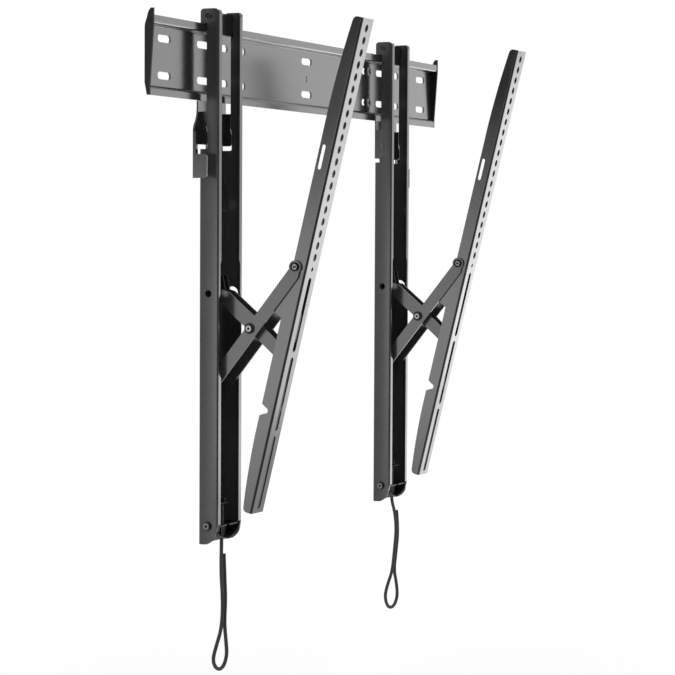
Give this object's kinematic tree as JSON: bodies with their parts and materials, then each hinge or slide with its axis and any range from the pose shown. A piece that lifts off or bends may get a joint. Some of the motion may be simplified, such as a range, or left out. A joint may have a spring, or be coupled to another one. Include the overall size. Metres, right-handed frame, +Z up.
{
  "type": "tilting tv wall bracket",
  "caption": "Slotted wall plate with hanging uprights whose scissor arms carry tilting screen rails, held by sprung latches with pull cords.",
  "frame": {"origin": "middle of the wall plate's back face", "axes": "+X along the wall plate to the right as seen from the room, +Y into the wall, +Z up"},
  "size_m": [0.906, 0.2137, 0.8223],
  "materials": {
    "powder_coated_steel": "satin powder coat",
    "dark_plated_steel": "black plated",
    "moulded_plastic": "fine grain",
    "spring_steel": "drawn wire",
    "braided_cord": "braided"
  },
  "bodies": {
    "wall": {"wall_plate": "powder_coated_steel", "end_cap_left": "moulded_plastic", "end_cap_right": "moulded_plastic", "plate_bolts": "dark_plated_steel", "plate_washers": "dark_plated_steel"},
    "carriage_left": {"upright_left": "powder_coated_steel", "hook_plate_left": "powder_coated_steel", "hanger_rivets_left": "dark_plated_steel", "pivot_bracket_left": "powder_coated_steel", "pivot_axle_left": "dark_plated_steel", "latch_guide_left": "dark_plated_steel", "latch_spring_left": "spring_steel", "cord_guide_left": "moulded_plastic", "guide_bolt_left": "dark_plated_steel", "guide_washer_left": "dark_plated_steel"},
    "short_arm_left": {"short_arm_left": "powder_coated_steel", "slider_axle_left": "dark_plated_steel"},
    "long_arm_left": {"long_arm_left": "powder_coated_steel", "cross_rivet_left": "dark_plated_steel", "cross_washers_left": "dark_plated_steel", "slide_axle_left": "dark_plated_steel", "slide_glides_left": "moulded_plastic"},
    "rail_left": {"screen_rail_left": "powder_coated_steel", "rail_rivets_left": "dark_plated_steel", "slide_bracket_left": "powder_coated_steel"},
    "latch_left": {"latch_left": "powder_coated_steel", "pull_strip_left": "powder_coated_steel", "strip_rivet_left": "dark_plated_steel", "stopper_knot_left": "braided_cord", "pull_cord_left": "braided_cord"},
    "carriage_right": {"upright_right": "powder_coated_steel", "hook_plate_right": "powder_coated_steel", "hanger_rivets_right": "dark_plated_steel", "pivot_bracket_right": "powder_coated_steel", "pivot_axle_right": "dark_plated_steel", "latch_guide_right": "dark_plated_steel", "latch_spring_right": "spring_steel", "cord_guide_right": "moulded_plastic", "guide_bolt_right": "dark_plated_steel", "guide_washer_right": "dark_plated_steel"},
    "short_arm_right": {"short_arm_right": "powder_coated_steel", "slider_axle_right": "dark_plated_steel"},
    "long_arm_right": {"long_arm_right": "powder_coated_steel", "cross_rivet_right": "dark_plated_steel", "cross_washers_right": "dark_plated_steel", "slide_axle_right": "dark_plated_steel", "slide_glides_right": "moulded_plastic"},
    "rail_right": {"screen_rail_right": "powder_coated_steel", "rail_rivets_right": "dark_plated_steel", "slide_bracket_right": "powder_coated_steel"},
    "latch_right": {"latch_right": "powder_coated_steel", "pull_strip_right": "powder_coated_steel", "strip_rivet_right": "dark_plated_steel", "stopper_knot_right": "braided_cord", "pull_cord_right": "braided_cord"}
  },
  "joints": [
    {"name": "left_shift", "type": "slide", "parent": "wall", "child": "carriage_left", "axis": [1, 0, 0], "range_m": [-0.11, 0.2]},
    {"name": "left_fold", "type": "hinge", "parent": "carriage_left", "child": "short_arm_left", "pos_m": [-0.28, -0.015, -0.284], "axis": [1, 0, 0], "range_deg": [0, 41]},
    {"name": "left_cross", "type": "hinge", "parent": "short_arm_left", "child": "long_arm_left", "pos_m": [-0.28, -0.0654, -0.3262], "axis": [1, 0, 0], "range_deg": [-75, 1]},
    {"name": "left_tilt", "type": "hinge", "parent": "long_arm_left", "child": "rail_left", "pos_m": [-0.28, -0.1262, -0.25], "axis": [1, 0, 0], "range_deg": [-1, 21]},
    {"name": "left_release", "type": "slide", "parent": "carriage_left", "child": "latch_left", "axis": [0, 0, -1], "range_m": [0, 0.005], "stiffness_N_per_m": 800, "springref_m": -0.01, "deforming": ["latch_spring_left"]},
    {"name": "right_shift", "type": "slide", "parent": "wall", "child": "carriage_right", "axis": [1, 0, 0], "range_m": [-0.2, 0.11]},
    {"name": "right_fold", "type": "hinge", "parent": "carriage_right", "child": "short_arm_right", "pos_m": [0.269, -0.015, -0.284], "axis": [1, 0, 0], "range_deg": [0, 41]},
    {"name": "right_cross", "type": "hinge", "parent": "short_arm_right", "child": "long_arm_right", "pos_m": [0.269, -0.0654, -0.3262], "axis": [1, 0, 0], "range_deg": [-75, 1]},
    {"name": "right_tilt", "type": "hinge", "parent": "long_arm_right", "child": "rail_right", "pos_m": [0.269, -0.1262, -0.25], "axis": [1, 0, 0], "range_deg": [-1, 21]},
    {"name": "right_release", "type": "slide", "parent": "carriage_right", "child": "latch_right", "axis": [0, 0, -1], "range_m": [0, 0.005], "stiffness_N_per_m": 800, "springref_m": -0.01, "deforming": ["latch_spring_right"]}
  ],
  "couplings": [
    {"joint": "left_cross", "follows": "left_fold", "ratio": -1.783},
    {"joint": "left_tilt", "follows": "left_fold", "ratio": 0.4871},
    {"joint": "right_cross", "follows": "right_fold", "ratio": -1.783},
    {"joint": "right_tilt", "follows": "right_fold", "ratio": 0.4871}
  ]
}
